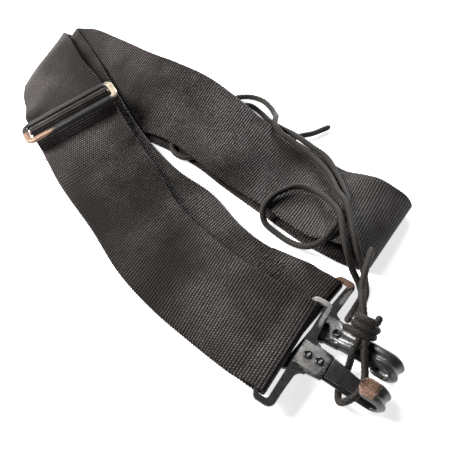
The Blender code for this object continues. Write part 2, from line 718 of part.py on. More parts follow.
def cord(name, route, step=9.0):
    curve = bpy.data.curves.new(name, "CURVE")
    curve.dimensions = "3D"
    curve.bevel_depth = CORD_RADIUS * MM
    curve.bevel_resolution = 2
    curve.use_fill_caps = True
    run = curve.splines.new("POLY")
    points = route_line(route, step)
    run.points.add(len(points) - 1)
    for spot, point in zip(run.points, points):
        spot.co = (*at(*point), 1.0)
    curve.materials.append(cord_nylon())
    obj = bpy.data.objects.new(name, curve)
    bpy.context.scene.collection.objects.link(obj)
    return obj


def make_cord():
    knot = bmesh.new()
    bmesh.ops.create_uvsphere(knot, u_segments=14, v_segments=8, radius=1.0)
    mesh = bpy.data.meshes.new("cord_knot")
    knot.to_mesh(mesh)
    knot.free()
    stretch = Matrix.Diagonal((*(KNOT_RADII * MM), 1.0))
    add_object("cord_knot", mesh, cord_nylon(), Matrix.Translation(at(*KNOT_PLACE)) @ stretch, 180)
    cord("cord_tail", TAIL_ROUTE)
    cord("cord_hook_loop", [NEAR.point(*place) for place in HOOK_LOOP_ROUTE], 4.0)
    cord("cord_long", LONG_ROUTE)
    cord("cord_short", SHORT_ROUTE)


clear_scene()
make_webbing()
make_stitching()
make_hook("near", NEAR, NEAR_GATE_REST)
make_hook("far", FAR_FLIPPED, FAR_GATE_REST)
make_slide()
make_cord()
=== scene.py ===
"""The webbing carrying strap's looks, laid over its CAD frame.

The layout is in millimetres, as the part's own design has it; at() turns it into metres.
"""

import math
import random

import bmesh
import bpy
from mathutils import Matrix, Vector, noise


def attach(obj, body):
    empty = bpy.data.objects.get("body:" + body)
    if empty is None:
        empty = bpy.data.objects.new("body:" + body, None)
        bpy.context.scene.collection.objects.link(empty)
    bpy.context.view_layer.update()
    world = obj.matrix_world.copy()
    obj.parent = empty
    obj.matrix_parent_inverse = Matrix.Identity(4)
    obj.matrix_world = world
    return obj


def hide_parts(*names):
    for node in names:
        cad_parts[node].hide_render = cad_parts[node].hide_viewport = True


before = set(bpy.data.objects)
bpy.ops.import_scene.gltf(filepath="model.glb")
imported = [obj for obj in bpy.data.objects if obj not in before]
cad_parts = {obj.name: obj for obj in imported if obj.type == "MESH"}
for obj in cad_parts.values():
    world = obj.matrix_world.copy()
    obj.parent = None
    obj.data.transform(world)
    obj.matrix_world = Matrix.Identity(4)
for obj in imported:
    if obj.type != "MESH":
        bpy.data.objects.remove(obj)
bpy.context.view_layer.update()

MM = 0.001

# ---- driving dimensions (mm)
WEBBING_WIDTH = 57.0
WEBBING_THICKNESS = 1.6
LAYER_PITCH = 2.4          # between the middles of two layers that lie on each other
TOUCH_GAP = 0.3            # left between pieces that touch

RING_WIDTH = 66.0          # over the two side arms of a hook's ring
RING_ARM = 3.2             # width of a side arm
PLATE_THICKNESS = 2.4
BAR_HALF = 1.2             # the webbing bar, measured along the hook; it turns freely in its loop
WINDOW_END = 7.0           # far side of the ring's window, from the webbing bar's axis
RING_END = 11.2            # outer edge of the ring's hook-side bar
NECK_WIDTH = 16.0
NECK_START = 15.0
NECK_END = 24.0
ARM_END_WIDTH = 11.0
BEND_CENTRE = 49.0         # along the hook
BEND_RADIUS = 6.0          # to the middle of the metal
TIP_START = 41.0           # where the hook's tip ends, along the hook
ARM_THICKNESS = 2.2

GATE_THICKNESS = 1.1
GATE_ROOT_START = 7.6
GATE_HINGE = 24.5
GATE_END = 45.0
GATE_ROOT_WIDTH = 14.6
GATE_HINGE_WIDTH = 11.2
GATE_TIP_WIDTH = 8.0
NEAR_GATE_REST = -10.0     # degrees: the cord holds this gate ajar
FAR_GATE_REST = 4.2        # this one rests on its hook's tip
RIVET_PLACES = (12.4, 19.0)
RIVET_SHANK = 1.4
RIVET_HEAD = 2.4
RIVET_HOLE = 1.7
HOLE_SIDES = 24

LOOP_RADIUS = 2.65         # middle of the webbing round a ring's bar
LOOP_CENTRE = 1.3          # the loop's round end, measured along the hook

SLIDE_WIDTH = 68.0
SLIDE_LENGTH = 22.0
SLIDE_BAR = 4.0
SLIDE_SIDE = 4.2           # room for a side bar
SLIDE_CORNER = 4.6
SLIDE_THICKNESS = 2.6
SLIDE_TILT = math.radians(14.0)
SLIDE_LIFT = 6.2           # height of the slide's middle over the webbing's top face
CENTRE_BAR_RADIUS = 1.5

CORD_DIAMETER = 3.7
CORD_RADIUS = CORD_DIAMETER / 2

# This place in the layout is the part's origin.
LAYOUT_CENTRE = Vector((-15.53, 28.04, 0.09))


def at(x, y, z):
    """A layout point in millimetres, as a point of the part in metres."""
    return (Vector((x, y, z)) - LAYOUT_CENTRE) * MM


# ---- hook frames
class Frame:
    """A place with three directions: along, across and up."""

    def __init__(self, origin, along, across):
        self.origin = Vector(origin)
        self.along = Vector(along).normalized()
        across = Vector(across)
        self.across = (across - self.along * across.dot(self.along)).normalized()
        self.up = self.along.cross(self.across).normalized()

    def point(self, a, w, u):
        return self.origin + self.along * a + self.across * w + self.up * u

    def matrix(self):
        """From the frame's own millimetres to the part's metres."""
        axes = Matrix((self.along, self.across, self.up)).transposed().to_4x4()
        return Matrix.Translation(at(*self.origin)) @ axes @ Matrix.Scale(MM, 4)


# The bar of the near hook's ring, and the bar of the far one, which lies face down.
NEAR = Frame((31.0, -84.0, 10.6), (0.833, -0.552, -0.025), (0.552, 0.833, 0.037))
FAR = Frame((44.1, -64.2, 3.5), (0.762, -0.648, 0.115), (0.648, 0.762, 0.0))
FAR_FLIPPED = Frame(FAR.origin, FAR.along, -FAR.across)
FAR_LOOP = Frame(FAR.origin, (0.762, -0.648, 0.0), (0.648, 0.762, 0.0))

# The slide stands on a stretch of webbing that is flat and straight.
SLIDE_PLACE = Vector((-101.6, 78.3, 15.6))
SLIDE_ALONG = Vector((0.489, -0.868, -0.075))
SLIDE_ACROSS = Vector((0.85, 0.47, 0.225))
SLIDE = Frame(SLIDE_PLACE, SLIDE_ALONG, SLIDE_ACROSS)

# The far end of the band lies back on the far run, towards this point.
FAR_TAB_AIM = Vector((2.0, -37.5, 4.4))

# ---- the webbing's path
# The band is ruled: each station is a straight line across it, from its left edge to its
# right edge, on its middle surface. Stations go along the band from the near hook. In the
# runs the rulings are square to the band and as long as it is wide; in the folds they may
# lie askew.

FRONT_EDGES = [
    ((-20, -80, 8.8), (6, -29, 10)),
    ((-40, -60, 7), (-12, -12, 9)),
    ((-60, -37, 6.5), (-29, 9, 9.5)),
    ((-80, -5, 6), (-44, 36, 11)),
    ((-98, 20, 5.7), (-56, 54, 15.5)),
]
OUTER_FOLD_EDGES = [
    ((-139, 96, 7.4), (-100, 125, 27)),
    ((-143, 108, 7.0), (-108.5, 141, 27)),
    ((-144.5, 117, 6.6), (-116, 156, 25.5)),
    ((-145.5, 123.5, 4.2), (-121, 168, 19)),
    ((-143, 124.5, 1.5), (-118, 174, 12.5)),
    ((-136, 122, 1.2), (-110, 173, 11)),
]
BACK_LOWER_EDGES = [
    ((-122, 114, 1.2), (-95, 163, 12)),
    ((-103, 101, 1.2), (-75, 149, 14.5)),
    ((-80, 87, 1.2), (-52, 134, 16)),
    ((-58, 75, 1.2), (-33, 122, 15.5)),
    ((-37, 62, 1.2), (-10, 110, 12)),
    ((-17, 46, 1.2), (13, 93, 8)),
    ((-3, 32, 1.2), (30, 77, 3)),
    ((24, 6, 1.2), (57, 52, 1.2)),
    ((46, -14, 1.2), (77, 33, 1.2)),
    ((58, -23, 1.2), (89, 25, 1.2)),
]
RIGHT_FOLD_EDGES = [
    ((69, -30, 1.2), (100, 18, 1.2)),
    ((77.5, -33.5, 2.0), (110, 13, 1.8)),
    ((81.5, -35, 6), (114.5, 11, 5)),
    ((80, -34, 11.5), (112, 14, 9.5)),
    ((74, -32, 16.5), (104, 18, 14)),
    ((66, -28, 18.5), (95, 23, 16.5)),
]
BACK_UPPER_EDGES = [
    ((58, -22, 15), (86, 28, 15)),
    ((48, -15, 10), (77, 34, 11)),
    ((36, -3, 7.5), (68, 44, 8.5)),
    ((24, 9, 7), (57, 55, 8)),
    ((13, 19, 7), (47, 62, 9)),
    ((-3, 31, 7.5), (28, 78, 12)),
    ((-19, 47, 7.5), (10, 95, 17)),
    ((-38, 66, 7.5), (-12, 113, 21)),
    ((-59, 79, 6.5), (-34, 123, 24.5)),
    ((-82, 91, 6), (-53, 135, 25)),
    ((-105, 106, 6), (-77, 152, 25)),
    ((-124, 119, 5.2), (-97, 166, 23.5)),
]
INNER_FOLD_EDGES = [
    ((-133, 124, 4.3), (-107, 171, 20.5)),
    ((-138, 126, 4.9), (-111.5, 172, 20)),
    ((-137, 120, 5.6), (-110, 166, 22)),
]
FAR_EDGES = [
    ((-135, 111, 5.1), (-104, 155, 22)),
    ((-128, 93, 4.4), (-90, 129, 20)),
    ((-119, 71, 3.0), (-75, 103, 15.5)),
    ((-107, 50, 2), (-65, 85, 12)),
    ((-91, 26, 2), (-52, 65, 8.5)),
    ((-69, -1, 1.6), (-31, 41, 5)),
    ((-46, -19, 1.6), (-9, 22, 3)),
    ((-28, -44, 1.6), (9, -2, 2.5)),
    ((-14, -58, 1.8), (23, -16, 2.5)),
]


def heading(line, i):
    """The way a line goes at point i, from the point before it to the one after."""
    return line[min(i + 1, len(line) - 1)] - line[max(i - 1, 0)]


def ruling(centre, across):
    half = across.normalized() * WEBBING_WIDTH / 2
    return centre - half, centre + half


def middles(stations):
    return [(left + right) / 2 for left, right in stations]


def fold_stations(table):
    return [(Vector(left), Vector(right)) for left, right in table]


def run_stations(table):
    """A run's stations, moved so that their edges stand exactly the webbing's width apart."""
    return [ruling((left + right) / 2, right - left) for left, right in fold_stations(table)]


def slide_stretch():
    """Stations on the straight stretch under the slide, from the hook's side to the fold's."""
    middle = SLIDE.point(0, 0, -WEBBING_THICKNESS / 2)
    return [ruling(middle + SLIDE.along * a, SLIDE.across) for a in (38.0, 30.0, 15.0, 0.0, -15.0, -20.0)]


def loop_stations(ring):
    """Webbing round a ring's bar: in under the bar, round it, and back above it."""
    half_pitch = LAYER_PITCH / 2
    profile = [(-17.0, -half_pitch), (-10.0, -half_pitch - 0.2), (-4.0, -LOOP_RADIUS + 0.1)]
    for step in range(7):
        angle = math.radians(-90 + 30 * step)
        profile.append((LOOP_CENTRE + LOOP_RADIUS * math.cos(angle), LOOP_RADIUS * math.sin(angle)))
    profile += [(-4.0, LOOP_RADIUS - 0.1), (-10.0, half_pitch + 0.2), (-17.0, half_pitch)]
    return [ruling(ring.point(a, 0, u), ring.across) for a, u in profile]


def offset_back(stations, distance):
    """The same stations moved to the webbing's lower side, in reverse order."""
    moved = []
    centres = middles(stations)
    for index, (left, right) in enumerate(stations):
        step = (right - left).cross(heading(centres, index)).normalized() * distance
        moved.append((left - step, right - step))
    return moved[::-1]


def sewn_tab(far_loop):
    """The far end of the band, turned back and sewn down on the far run."""
    start = middles(far_loop)[-1]
    way = (FAR_TAB_AIM - start).normalized()
    return [ruling(start + way * reach, FAR_LOOP.across) for reach in (6.0, 14.0, 24.0)]


def webbing_runs():
    """(name, stations) of every run of the one band, in order along it."""
    front = run_stations(FRONT_EDGES) + slide_stretch()
    near_loop = loop_stations(NEAR)
    far_loop = loop_stations(FAR_LOOP)
    return [
        ("front_return_run", offset_back([near_loop[-1]] + front[:-3], LAYER_PITCH)[:-1]),
        ("near_ring_loop", near_loop),
        ("front_run", front),
        ("outer_fold", fold_stations(OUTER_FOLD_EDGES)),
        ("back_lower_run", run_stations(BACK_LOWER_EDGES)),
        ("right_fold", fold_stations(RIGHT_FOLD_EDGES)),
        ("back_upper_run", run_stations(BACK_UPPER_EDGES)),
        ("inner_fold", fold_stations(INNER_FOLD_EDGES)),
        ("far_run", run_stations(FAR_EDGES)),
        ("far_ring_loop", far_loop),
        ("far_sewn_tab", sewn_tab(far_loop)),
    ]


def spline(p0, p1, p2, p3, t):
    """A centripetal Catmull-Rom curve from p1 to p2."""
    k0 = 0.0
    k1 = k0 + max((p1 - p0).length, 1e-6) ** 0.5
    k2 = k1 + max((p2 - p1).length, 1e-6) ** 0.5
    k3 = k2 + max((p3 - p2).length, 1e-6) ** 0.5
    k = k1 + (k2 - k1) * t
    a1 = p0 * ((k1 - k) / (k1 - k0)) + p1 * ((k - k0) / (k1 - k0))
    a2 = p1 * ((k2 - k) / (k2 - k1)) + p2 * ((k - k1) / (k2 - k1))
    a3 = p2 * ((k3 - k) / (k3 - k2)) + p3 * ((k - k2) / (k3 - k2))
    b1 = a1 * ((k2 - k) / (k2 - k0)) + a2 * ((k - k0) / (k2 - k0))
    b2 = a2 * ((k3 - k) / (k3 - k1)) + a3 * ((k - k1) / (k3 - k1))
    return b1 * ((k2 - k) / (k2 - k1)) + b2 * ((k - k1) / (k2 - k1))


def smooth_line(points, counts):
    """A smooth curve through the points, with the given number of steps to each next one."""
    padded = [points[0] * 2 - points[1]] + list(points) + [points[-1] * 2 - points[-2]]
    line = []
    for i, count in enumerate(counts):
        p0, p1, p2, p3 = padded[i:i + 4]
        line += [spline(p0, p1, p2, p3, j / count) for j in range(count)]
    line.append(points[-1].copy())
    return line


def step_counts(points, step):
    return [max(1, round((b - a).length / step)) for a, b in zip(points, points[1:])]


def smooth_edges(stations, counts):
    """A band's left and right edge, smooth through its stations."""
    return [smooth_line(edge, counts) for edge in zip(*stations)]


def band_path(step):
    """The whole band's two edges, and the names of its runs."""
    runs = webbing_runs()
    stations = [station for _, run in runs for station in run]
    lefts, rights = smooth_edges(stations, step_counts(middles(stations), step))
    return lefts, rights, [name for name, _ in runs]


# ---- outlines of the hooks
def arc(centre, radius, start, end, count):
    """Points on an arc, angles in degrees."""
    found = []
    for i in range(count + 1):
        angle = math.radians(start + (end - start) * i / count)
        found.append((centre[0] + radius * math.cos(angle), centre[1] + radius * math.sin(angle)))
    return found


def circle_angles(count):
    """Angles of evenly spaced points round a circle."""
    return [2 * math.pi * j / count for j in range(count)]


def rounded_box(half_x, half_y, corner, count):
    """A rectangle's outline with round corners, about its middle."""
    outline = []
    for sign_x, sign_y, start in ((1, 1, 0), (-1, 1, 90), (-1, -1, 180), (1, -1, 270)):
        middle = (sign_x * (half_x - corner), sign_y * (half_y - corner))
        outline += arc(middle, corner, start, start + 90, count)
    return outline


def ring_outline():
    """Half of the plate's outer outline, from the webbing bar's middle to the neck's end."""
    corner, half = 4.0, RING_WIDTH / 2
    sweep = 5.0
    neck_half = NECK_WIDTH / 2
    outline = [(-BAR_HALF, 0.0)]
    outline += arc((-BAR_HALF + corner, half - corner), corner, 180, 90, 12)
    outline += arc((RING_END - corner, half - corner), corner, 90, 0, 12)
    outline += arc((RING_END + sweep, neck_half + sweep), sweep, 180, 270, 12)
    outline += [(NECK_END, neck_half - 0.8), (NECK_END, 0.0)]
    return outline


def window_outline():
    half = RING_WIDTH / 2 - RING_ARM
    corner = 1.5
    outline = [(BAR_HALF, 0.0)]
    outline += arc((BAR_HALF + corner, half - corner), corner, 180, 90, 6)
    outline += arc((WINDOW_END - corner, half - corner), corner, 90, 0, 6)
    outline += [(WINDOW_END, 0.0)]
    return outline


def full_outline(half_outline):
    """Both halves of an outline that is symmetric about the hook's axis."""
    mirrored = [(a, -w) for a, w in half_outline[-2:0:-1]]
    return half_outline + mirrored


def is_hollow(outline, i):
    """Whether the outline turns the other way at this point."""
    a, b, c = (Vector(outline[(i + k) % len(outline)]) for k in (-1, 0, 1))
    turn = (b - a).cross(c - b)
    area = sum(Vector(outline[k - 1]).cross(Vector(outline[k])) for k in range(len(outline)))
    return turn * area < 0


def arm_line():
    """The middle of the hook's arm in (along, up): out from the neck, down, round and back."""
    low = [(NECK_START + 2.0, 0.0), (NECK_END, -0.6), (31.0, -2.4), (38.0, -4.7), (44.5, -5.8)]
    bend = arc((BEND_CENTRE, 0.0), BEND_RADIUS, -90, 90, 10)
    tip = [(TIP_START + 3.5, 6.2), (TIP_START, 6.3)]
    return low + bend + tip


def arm_width(place):
    """The arm's width at a share of its length: it narrows, and its tip is round."""
    width = NECK_WIDTH - 1.6 + (ARM_END_WIDTH - NECK_WIDTH + 1.6) * min(1.0, place / 0.45)
    if place > 0.93:
        width *= math.sqrt(max(0.12, 1.0 - ((place - 0.93) / 0.075) ** 2))
    return width


def arm_section(width):
    """The channel's cross-section as (across, outwards): two ridges with a groove between."""
    half, thick = width / 2, ARM_THICKNESS / 2
    ridge, lip = 0.75, 1.2
    outer = [(-half, -lip), (-half * 0.62, thick + ridge), (-half * 0.22, thick - 0.2),
             (half * 0.22, thick - 0.2), (half * 0.62, thick + ridge), (half, -lip)]
    inner = [(half * 0.80, -thick - 0.9), (half * 0.5, -thick + 0.5), (-half * 0.5, -thick + 0.5),
             (-half * 0.80, -thick - 0.9)]
    return outer + inner


# ---- the cord's routes
KNOT_PLACE = Vector((71.2, -78.3, 18.2))

# Routes in layout millimetres, from the knot outwards.
# The tail stands clear of the other two strands, so that it can swing up with the hook.
TAIL_ROUTE = [(70.6, -69, 22), (71.2, -59, 22.7), (73.3, -51.1, 23.9), (76.9, -41.7, 23.8),
              (80.2, -33.2, 21.8)]
LONG_ROUTE = [
    (64.3, -70.3, 9.8), (67, -65.5, 5.4), (71.5, -58.5, 2.8), (75.8, -51, 2.8), (74.8, -44.5, 4.8),
    (70.8, -39, 11), (67.7, -34.5, 19), (65.8, -26, 23.2), (65.3, -11, 24), (62.5, 3, 18.2),
    (55, 17, 12.2), (45, 21.5, 11.4), (37, 19.3, 11), (29, 14, 10.8), (23, 5.5, 9), (24, -1, 4.2),
    (31.5, -8.5, 2.4), (38.4, -15, 3.2), (45, -20.2, 6.4), (50.6, -23.2, 11.6), (56, -22.6, 17),
    (61.8, -16.8, 20.2), (68, -7, 19.8), (72.8, 3, 18.6), (72.3, 14.5, 16.2), (69.8, 29.5, 13.2),
    (64.8, 46, 11.7), (56, 56, 11.3),
    (51, 61.5, 11.4), (46, 68, 10), (38.5, 76.5, 7.6), (31, 85.5, 5.6), (25, 93, 6.4), (17, 95.5, 11),
    (7, 91.5, 12.4), (-5, 86.5, 11.2), (-13, 83, 10), (-21, 79.2, 8.8), (-28.4, 74.3, 7.3),
    (-33.8, 68.2, 5.5), (-35.2, 61.3, 4.3), (-31.6, 55, 4.2), (-25, 52, 4.5), (-17.5, 54.8, 5.4),
    (-8, 61.2, 7), (4, 68, 8.4), (16, 71, 7.8),
    (28, 69.5, 6.6), (38, 68, 5.6), (46, 70.5, 4.5), (53, 73.5, 3.8), (60, 76, 3.2), (72.5, 83.5, 2.4),
]
SHORT_ROUTE = [
    (69, -70.5, 9.5), (71.8, -65.5, 8), (74.6, -59, 6.6), (77.4, -52, 6.6), (77.6, -44.5, 8.4),
    (76, -38.5, 14), (73.5, -34.5, 19.5), (71.7, -26, 23.7), (70.6, -10, 24.5), (69.6, 0, 23.4),
    (67.4, 11, 18.8), (64.3, 30, 14), (58.3, 43.5, 11.9), (51, 52, 11.9), (43.5, 59.5, 12.9),
    (37, 65.5, 13.8), (33.5, 72.5, 14.6),
    (34, 79.5, 13.2), (35, 86.5, 9.4), (34.5, 94, 5), (33, 101, 3), (27, 110.5, 2.3), (18, 114.5, 2.3),
    (8.5, 113, 2.8), (0, 108, 3.4), (-8, 101, 3.6),
]
# In the near hook's own frame: over the gate's leaf, down past the arm and back under it.
HOOK_LOOP_ROUTE = [
    (34.5, 17, 7.5), (38.2, 11, 4.6), (41.6, 5, 2.4), (42.5, 0, 2.1), (42.2, -4.5, 1.9), (39, -9.6, -0.6),
    (36.4, -9.6, -5), (33.6, -4, -7.4), (33, 3, -7.4), (32.2, 8.8, -5.9), (31.6, 11, -2), (31, 12.7, 2.1),
    (30.4, 16, 4.9),
]

# ---- finer detail, for looks only
BAND_STEP = 0.85           # along the band, two steps to a rib
RIB_PITCH = 1.7
SELVEDGE_WAVE = 0.22       # how far the ribs' ends stand out and in along the band's edges
SWELL = 0.85               # height of the band's soft waves
SWELL_LENGTH = 30.0
NOISE_GAIN = 1.6           # the noise seldom comes near 1, so it is stretched
# Where metal holds the band: (middle, reach of the still part, where the waves are full).
STILL_PLACES = ((SLIDE_PLACE, 30.0, 55.0), (NEAR.origin, 30.0, 60.0), (FAR.origin, 30.0, 60.0))
LOWEST_MIDDLE = 1.1        # height of the band's middle where it lies on the table
SELVEDGE_ROUND = 1.0       # how far in from its edge the band's rounding goes
CORD_STEP = 0.6
CORD_SIDES = 24            # four points to each raised strand round the cord
BRAID_PITCH = 2.4
BRAID_DEPTH = 0.13
CORD_END_SWELL = (0.5, 0.8, 0.94)    # shares of the radius at a cord's last points
STRAND_FRAY = 3.2          # length of the hairs at a cut end
TAIL_FRAY = 2.2
HAIR_RADIUS = 0.16
HAIR_CORNERS = (0.0, 2.094, 4.189)   # thirds of a turn, in radians
STITCH_PITCH = 3.0
STITCH_LENGTH = 2.3
THREAD_EDGE = -28.3        # across the slide's stretch, just inside the band's edge
WINDOW_CUT = 4.0           # how far the cutters reach to each side of the plate's middle
HOLE_CUT = 5.0
TABLE_DROP = 0.0003        # metres: the table lies this far under the part
WALL_TOP = 0.14            # the studio's pale walls end here, as the upward part of a direction
CEILING_START = 0.34
CAMERA_PLACE = (0.0, -217.0, 288.0)
CAMERA_TILT = 37.0
CAMERA_LENS = 47.2
SCENE = bpy.context.scene


# ---- node graphs
class Graph:
    """A material's node tree, with short ways to add to it."""

    def __init__(self, name, roughness, specular, sheen=0.0, coat=0.0):
        self.material = bpy.data.materials.new(name)
        self.material.use_nodes = True
        self.tree = self.material.node_tree
        self.shader = self.tree.nodes["Principled BSDF"]
        for socket, value in (("Roughness", roughness), ("Specular IOR Level", specular),
                              ("Sheen Weight", sheen), ("Sheen Roughness", 0.4),
                              ("Coat Weight", coat), ("Coat Roughness", 0.15)):
            self.shader.inputs[socket].default_value = value

    def feed(self, socket, value):
        if isinstance(value, bpy.types.NodeSocket):
            self.tree.links.new(value, socket)
        else:
            socket.default_value = value

    def add(self, kind, inputs, **settings):
        node = self.tree.nodes.new(kind)
        for key, value in settings.items():
            setattr(node, key, value)
        for key, value in inputs.items():
            self.feed(node.inputs[key], value)
        return node

    def math(self, operation, a, b=0.0, clamp=False):
        node = self.add("ShaderNodeMath", {0: a, 1: b}, operation=operation, use_clamp=clamp)
        return node.outputs[0]

    def attribute(self, name):
        return self.add("ShaderNodeAttribute", {}, attribute_name=name).outputs["Vector"]

    def parts(self, vector):
        node = self.add("ShaderNodeSeparateXYZ", {0: vector})
        return node.outputs[0], node.outputs[1], node.outputs[2]

    def noise(self, vector, scale, detail=3.0):
        node = self.add("ShaderNodeTexNoise", {"Vector": vector, "Scale": scale, "Detail": detail})
        return node.outputs["Fac"]

    def object_place(self):
        return self.add("ShaderNodeTexCoord", {}).outputs["Object"]

    def ramp(self, factor, stops):
        """Maps 0..1 onto colours, or greys, given as (place, colour)."""
        node = self.add("ShaderNodeValToRGB", {"Fac": factor})
        elements = node.color_ramp.elements
        while len(elements) < len(stops):
            elements.new(0.5)
        for element, (place, colour) in zip(elements, stops):
            element.position = place
            tone = colour if isinstance(colour, tuple) else (colour, colour, colour)
            element.color = (*tone, 1.0)
        return node.outputs["Color"]

    def mix(self, factor, a, b, blend="MIX"):
        node = self.tree.nodes.new("ShaderNodeMix")
        node.data_type = "RGBA"
        node.blend_type = blend
        self.feed(node.inputs["Factor"], factor)
        for slot, value in ((6, a), (7, b)):
            self.feed(node.inputs[slot], (*value, 1.0) if isinstance(value, tuple) else value)
        return node.outputs[2]

    def bump(self, height, distance, strength=1.0):
        node = self.add("ShaderNodeBump", {"Height": height, "Distance": distance, "Strength": strength})
        self.tree.links.new(node.outputs["Normal"], self.shader.inputs["Normal"])

    def set(self, name, value):
        self.feed(self.shader.inputs[name], value)

    def spots(self, place, spots, ragged=0.9, scale=0.55):
        """Where any of the (centre, radii) spots lies, 0..1, with a ragged edge."""
        rough_edge = self.math("MULTIPLY", self.math("SUBTRACT", self.noise(place, scale, 5.0), 0.5), ragged)
        found = 0.0
        for centre, radii in spots:
            moved = self.add("ShaderNodeVectorMath", {0: place, 1: centre}, operation="SUBTRACT")
            scaled = self.add("ShaderNodeVectorMath", {0: moved.outputs[0], 1: radii}, operation="DIVIDE")
            reach = self.add("ShaderNodeVectorMath", {0: scaled.outputs[0]}, operation="LENGTH")
            near = self.math("SUBTRACT", 1.0, reach.outputs["Value"])
            sharp = self.math("MULTIPLY", self.math("ADD", near, rough_edge), 4.0, clamp=True)
            found = self.math("MAXIMUM", found, sharp)
        return found


def woven_webbing():
    """Black nylon: straight weft ribs and plain-weave threads, with painted sheen on the rib crests, painted
    shade in the grooves, and broad random patches of painted sheen and shade, slightly brown in places.
    """
    graph = Graph("woven_webbing", roughness=0.6, specular=0.13, sheen=0.0)
    across, along, _ = graph.parts(graph.attribute("weave"))
    turns = graph.math("DIVIDE", along, RIB_PITCH)
    row = graph.math("FLOOR", turns)
    rib = graph.math("ABSOLUTE", graph.math("SINE", graph.math("MULTIPLY", turns, math.pi)))
    shifted = graph.math("ADD", graph.math("MULTIPLY", across, 2 * math.pi / 1.5),
                         graph.math("MULTIPLY", row, math.pi))
    thread = graph.math("ADD", graph.math("MULTIPLY", graph.math("SINE", shifted), 0.5), 0.5)
    weave = graph.math("MULTIPLY", rib, graph.math("ADD", graph.math("MULTIPLY", thread, 0.5), 0.5))
    place = graph.object_place()
    patches = graph.noise(place, 21.0, 3.0)
    fine = graph.noise(place, 900.0, 2.0)
    # The weave's colour follows its height: painted sheen on the rib crests and painted shade in the grooves.
    weave_sheen_and_shade = graph.ramp(weave, [(0.0, (0.002, 0.0017, 0.0015)), (0.4, (0.0085, 0.0072, 0.0068)),
                                     (1.0, (0.064, 0.0565, 0.0545))])
    # Broad random patches of painted sheen and painted shade, standing in for light on the band's waves, with
    # a slight brown tint in the darker ones.
    tinted_sheen_and_shade_patches = graph.ramp(patches, [(0.38, (0.24, 0.2, 0.17)), (0.49, (0.8, 0.75, 0.72)),
                                 (0.62, (1.95, 1.93, 2.02))])
    speckle = graph.ramp(fine, [(0.35, 0.55), (0.65, 1.45)])
    colour = graph.mix(1.0, weave_sheen_and_shade, tinted_sheen_and_shade_patches, "MULTIPLY")
    graph.set("Base Color", graph.mix(1.0, colour, speckle, "MULTIPLY"))
    graph.set("Roughness", graph.math("SUBTRACT", 0.6, graph.math("MULTIPLY", weave, 0.22)))
    graph.bump(weave, 0.00036, 0.9)
    return graph.material


def braided_cord():
    """Dark brown-black nylon braid; the raised strands catch the light and are paler."""
    graph = Graph("braided_cord", roughness=0.7, specular=0.32, sheen=0.06)
    raised, _, _ = graph.parts(graph.attribute("weave"))
    flecks = graph.noise(graph.object_place(), 1100.0, 3.0)
    tone = graph.ramp(raised, [(0.2, (0.003, 0.0025, 0.0022)), (0.6, (0.016, 0.0135, 0.012)),
                               (1.0, (0.075, 0.066, 0.059))])
    graph.set("Base Color", graph.mix(1.0, tone, graph.ramp(flecks, [(0.3, 0.6), (0.7, 1.3)]), "MULTIPLY"))
    graph.set("Roughness", graph.ramp(flecks, [(0.2, 0.55), (0.8, 0.85)]))
    graph.bump(flecks, 0.0002, 0.6)
    return graph.material


def frayed_nylon():
    graph = Graph("frayed_nylon", roughness=0.6, specular=0.3, sheen=0.2)
    tone = graph.noise(graph.object_place(), 500.0, 2.0)
    graph.set("Base Color", graph.ramp(tone, [(0.3, (0.22, 0.19, 0.16)), (0.7, (0.62, 0.58, 0.52))]))
    return graph.material


def sewing_thread():
    graph = Graph("sewing_thread", roughness=0.65, specular=0.3, sheen=0.15)
    twist = graph.noise(graph.object_place(), 1500.0, 2.0)
    graph.set("Base Color", graph.ramp(twist, [(0.3, (0.008, 0.008, 0.008)), (0.7, (0.06, 0.056, 0.053))]))
    graph.bump(twist, 0.0001, 0.5)
    return graph.material


def paint_with_wear_and_glints(name, bright_spots, copper_spots, base=0.014, bright=(0.36, 0.355, 0.35)):
    """Glossy black paint, rubbed through to bare metal and copper at the given spots of the hook; on the
    rivets the bright spot is a painted highlight instead.
    """
    graph = Graph(name, roughness=0.3, specular=0.6, coat=0.2)
    place = graph.attribute("place")
    fine = graph.noise(place, 1.6, 4.0)
    dust = graph.noise(place, 0.45, 5.0)
    paint = graph.ramp(dust, [(0.3, base), (0.7, base * 2.4)])
    bare_steel_and_glint = graph.ramp(dust, [(0.25, tuple(tone * 0.55 for tone in bright)), (0.75, bright)])
    copper = graph.ramp(fine, [(0.32, (0.1, 0.05, 0.03)), (0.5, (0.3, 0.17, 0.115)),
                               (0.72, (0.56, 0.41, 0.32))])
    colour, metal = paint, 0.0
    # Bright spots are rubbed-through metal on the hooks and slide, and a painted highlight on the rivets.
    for spots, finish, strength in ((bright_spots, bare_steel_and_glint, 0.85), (copper_spots, copper, 0.9)):
        if spots:
            wear_and_glint_mask = graph.math("MULTIPLY", graph.spots(place, spots), strength)
            colour = graph.mix(wear_and_glint_mask, colour, finish)
            metal = graph.math("MAXIMUM", metal, wear_and_glint_mask)
    graph.set("Base Color", colour)
    graph.set("Metallic", graph.math("MULTIPLY", metal, 0.6))
    graph.set("Roughness", graph.math("ADD", graph.math("MULTIPLY", fine, 0.2),
                                      graph.math("ADD", 0.2, graph.math("MULTIPLY", metal, 0.2))))
    graph.bump(fine, 0.00012, 0.5)
    return graph.material


def white_table():
    graph = Graph("white_table", roughness=0.75, specular=0.2)
    tone = graph.noise(graph.object_place(), 6.0, 2.0)
    graph.set("Base Color", graph.ramp(tone, [(0.3, 0.9), (0.7, 0.93)]))
    graph.set("Emission Color", (1.0, 0.99, 1.0, 1.0))
    graph.set("Emission Strength", 0.72)
    return graph.material


